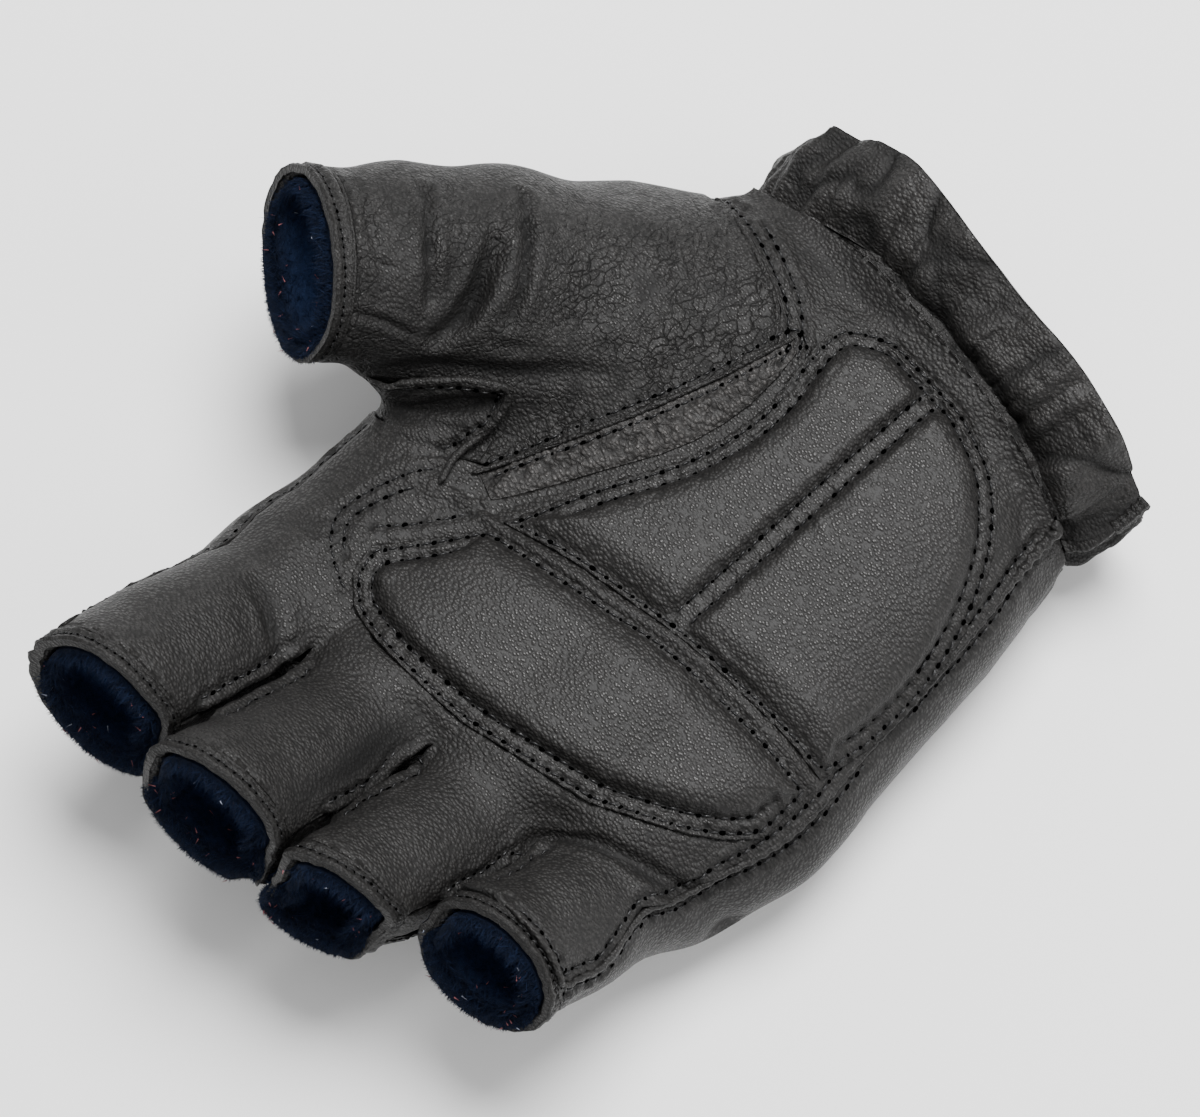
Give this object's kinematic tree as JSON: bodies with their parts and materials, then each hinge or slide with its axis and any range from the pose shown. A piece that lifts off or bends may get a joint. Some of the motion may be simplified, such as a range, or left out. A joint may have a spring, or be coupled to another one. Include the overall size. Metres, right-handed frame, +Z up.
{
  "type": "fingerless motorcycle glove",
  "caption": "Right-hand fingerless leather glove lying palm up, with padded palm patches, side gussets, thumb sleeve and gathered cuff.",
  "frame": {"origin": "bottom centre of the box round the glove, on the surface that its back lies on", "axes": "+Y from the cuff to the fingers, +X towards the thumb, +Z up out of the palm"},
  "size_m": [0.1436, 0.1746, 0.0605],
  "materials": {
    "leather": "charcoal black leather with a fine pebbled grain",
    "pad_leather": "fine-grained charcoal leather over padding",
    "pebbled_leather": "coarser, slightly glossy pebbled leather",
    "edge_leather": "turned and stitched leather edge",
    "fleece": "dark navy brushed lining with sparse light flecks"
  },
  "bodies": {
    "root": {"palm_panel": "leather", "back_panel": "leather", "thumb_panel": "leather", "gusset_index_middle": "leather", "gusset_middle_ring": "leather", "gusset_ring_little": "leather", "hem_index": "edge_leather", "hem_middle": "edge_leather", "hem_ring": "edge_leather", "hem_little": "edge_leather", "hem_thumb": "edge_leather", "lining_index": "fleece", "lining_middle": "fleece", "lining_ring": "fleece", "lining_little": "fleece", "lining_thumb": "fleece", "cuff": "leather", "cuff_binding": "edge_leather", "front_palm_pad": "pad_leather", "rear_palm_pad": "pad_leather", "thumb_crescent": "pebbled_leather", "web_gusset": "leather"}
  },
  "joints": []
}
